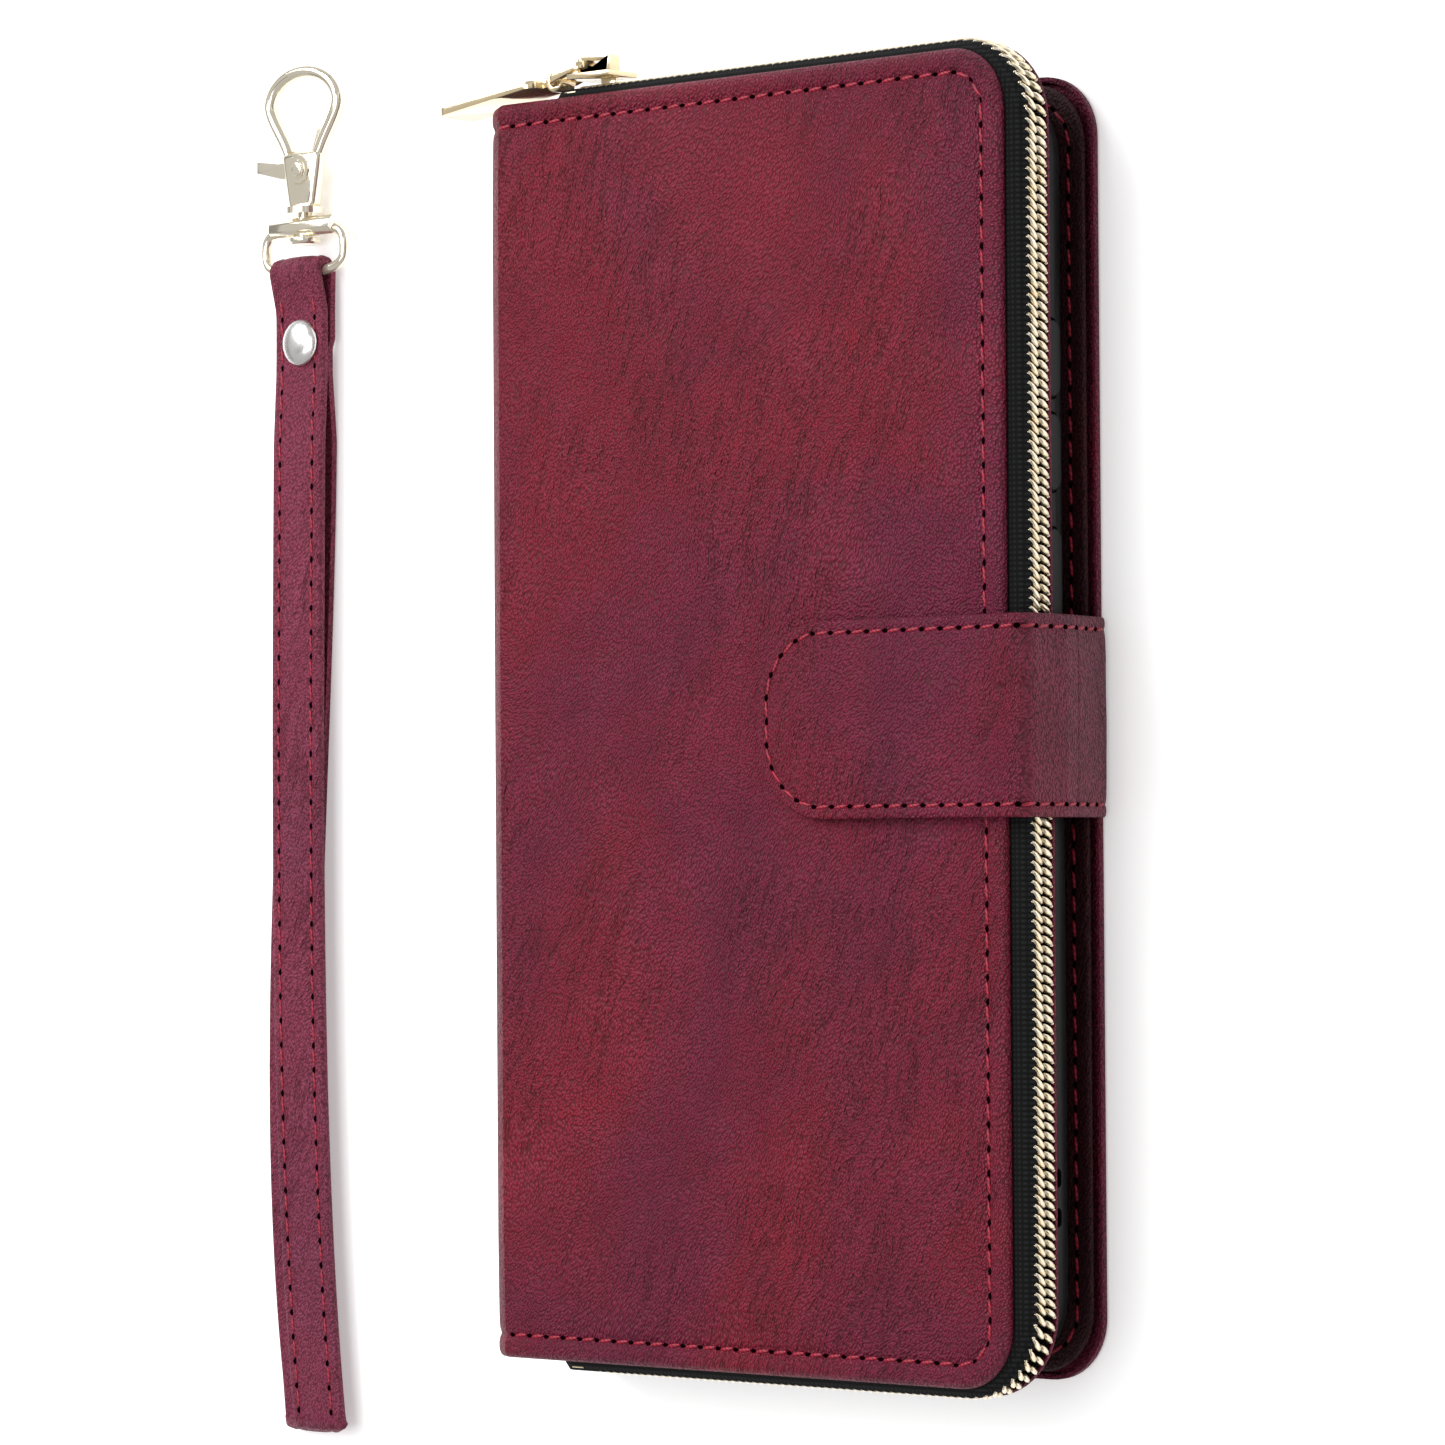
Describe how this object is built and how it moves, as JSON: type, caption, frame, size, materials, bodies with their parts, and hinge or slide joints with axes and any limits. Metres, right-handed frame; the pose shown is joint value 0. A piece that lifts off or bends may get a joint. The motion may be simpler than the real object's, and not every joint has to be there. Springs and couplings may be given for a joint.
{
  "type": "phone wallet case",
  "caption": "Folding leather wallet case for a phone: moulded shell on a back cover, zipped pouch as the front cover, magnetic closure strap and a clip-on wrist strap.",
  "frame": {"origin": "middle of the back cover's flat outer face, which the closed case lies on", "axes": "+Y towards the phone's top, along the case's longest side; +X from the spine to the fore edge; +Z out of the front cover"},
  "size_m": [0.1511, 0.1918, 0.0211],
  "materials": {
    "burgundy_leather": "grained, semi-gloss",
    "burgundy_lining": "fine grain, matte",
    "stiffener_board": "plain",
    "black_cloth": "woven, matte",
    "black_shell": "moulded, satin",
    "coil_teeth": "metallic champagne",
    "gold_metal": "polished",
    "pale_gold_metal": "polished",
    "silver_metal": "satin",
    "magnet_steel": "plated"
  },
  "bodies": {
    "root": {"back_skin": "burgundy_leather", "back_board": "stiffener_board", "back_lining": "burgundy_lining", "closure_root": "burgundy_leather", "phone_shell": "black_shell"},
    "volume_up_key": {"volume_up_button": "black_shell"},
    "volume_down_key": {"volume_down_button": "black_shell"},
    "power_key": {"power_button": "black_shell"},
    "spine": {"spine_skin": "burgundy_leather", "spine_board": "stiffener_board", "spine_lining": "burgundy_lining"},
    "pouch": {"card_slot_1": "burgundy_lining", "card_slot_2": "burgundy_lining", "card_slot_3": "burgundy_lining", "bill_pocket": "burgundy_lining", "inner_skin": "burgundy_leather", "inner_board": "stiffener_board", "inner_lining": "black_cloth", "pouch_gusset": "black_cloth", "pocket_divider": "black_cloth", "outer_lining": "black_cloth", "outer_board": "stiffener_board", "panel_magnet": "magnet_steel", "outer_skin": "burgundy_leather", "inner_tape": "black_cloth", "outer_tape": "black_cloth", "inner_teeth": "coil_teeth", "outer_teeth": "coil_teeth", "zip_top_stop": "gold_metal", "zip_bottom_stop": "gold_metal"},
    "slider": {"slider_body": "gold_metal", "slider_crown": "gold_metal"},
    "ring": {"pull_ring": "gold_metal"},
    "tab": {"pull_tab": "gold_metal"},
    "closure_side": {"closure_side_skin": "burgundy_leather", "closure_side_lining": "burgundy_lining"},
    "closure_flap": {"flap_skin": "burgundy_leather", "flap_lining": "burgundy_lining", "flap_magnet": "magnet_steel"},
    "wrist_strap": {"wrist_band": "burgundy_leather", "rivet_cap": "silver_metal", "rivet_back": "silver_metal"},
    "clasp_ring": {"d_ring": "pale_gold_metal"},
    "hook": {"swivel_pin": "pale_gold_metal", "hook_body": "pale_gold_metal", "gate_pin": "pale_gold_metal", "gate_spring": "silver_metal"},
    "gate": {"gate_lever": "pale_gold_metal"}
  },
  "joints": [
    {"name": "spine_fold", "type": "hinge", "parent": "root", "child": "spine", "pos_m": [-0.0425, 0, 0], "axis": [0, -1, 0], "range_deg": [0, 80], "deforming": ["flap_skin", "flap_lining", "flap_magnet"]},
    {"name": "cover_fold", "type": "hinge", "parent": "spine", "child": "pouch", "pos_m": [-0.0425, 0, 0.0193], "axis": [0, -1, 0], "range_deg": [0, 80]},
    {"name": "closure_side_swing", "type": "hinge", "parent": "root", "child": "closure_side", "pos_m": [0.0427, 0, 0.0016], "axis": [0, 1, 0], "range_deg": [0, 75]},
    {"name": "closure_flap_swing", "type": "hinge", "parent": "closure_side", "child": "closure_flap", "pos_m": [0.0457, 0, 0.0193], "axis": [0, 1, 0], "range_deg": [0, 80]},
    {"name": "zip_slide", "type": "slide", "parent": "pouch", "child": "slider", "axis": [1, 0, 0], "range_m": [0, 0.057]},
    {"name": "ring_swing", "type": "hinge", "parent": "slider", "child": "ring", "pos_m": [-0.02935, 0.08707, 0.01518], "axis": [0, 0, -1], "range_deg": [0, 100]},
    {"name": "tab_swing", "type": "hinge", "parent": "ring", "child": "tab", "pos_m": [-0.03461, 0.08546, 0.01518], "axis": [0, 0, -1], "range_deg": [0, 80]},
    {"name": "volume_up_press", "type": "slide", "parent": "root", "child": "volume_up_key", "axis": [-1, 0, 0], "range_m": [0, 0.0004], "stiffness_N_per_m": 400},
    {"name": "volume_down_press", "type": "slide", "parent": "root", "child": "volume_down_key", "axis": [-1, 0, 0], "range_m": [0, 0.0004], "stiffness_N_per_m": 400},
    {"name": "power_press", "type": "slide", "parent": "root", "child": "power_key", "axis": [-1, 0, 0], "range_m": [0, 0.0004], "stiffness_N_per_m": 400},
    {"name": "strap_draw", "type": "slide", "parent": "root", "child": "wrist_strap", "axis": [-1, 0, 0], "range_m": [0, 0.05]},
    {"name": "clasp_ring_swing", "type": "hinge", "parent": "wrist_strap", "child": "clasp_ring", "pos_m": [-0.0952, 0.0656, 0.00295], "axis": [1, 0, 0], "range_deg": [0, 80]},
    {"name": "hook_swivel", "type": "hinge", "parent": "clasp_ring", "child": "hook", "pos_m": [-0.0952, 0.0737, 0.00295], "axis": [0, 1, 0], "continuous": true},
    {"name": "gate_press", "type": "hinge", "parent": "hook", "child": "gate", "pos_m": [-0.0952, 0.08, 0.00295], "axis": [0, 0, 1], "range_deg": [0, 22], "stiffness_Nm_per_rad": 0.002, "deforming": ["gate_spring"]}
  ],
  "couplings": [
    {"joint": "cover_fold", "follows": "spine_fold", "ratio": 1},
    {"joint": "ring_swing", "follows": "zip_slide", "rad_per_m": 30.6}
  ]
}
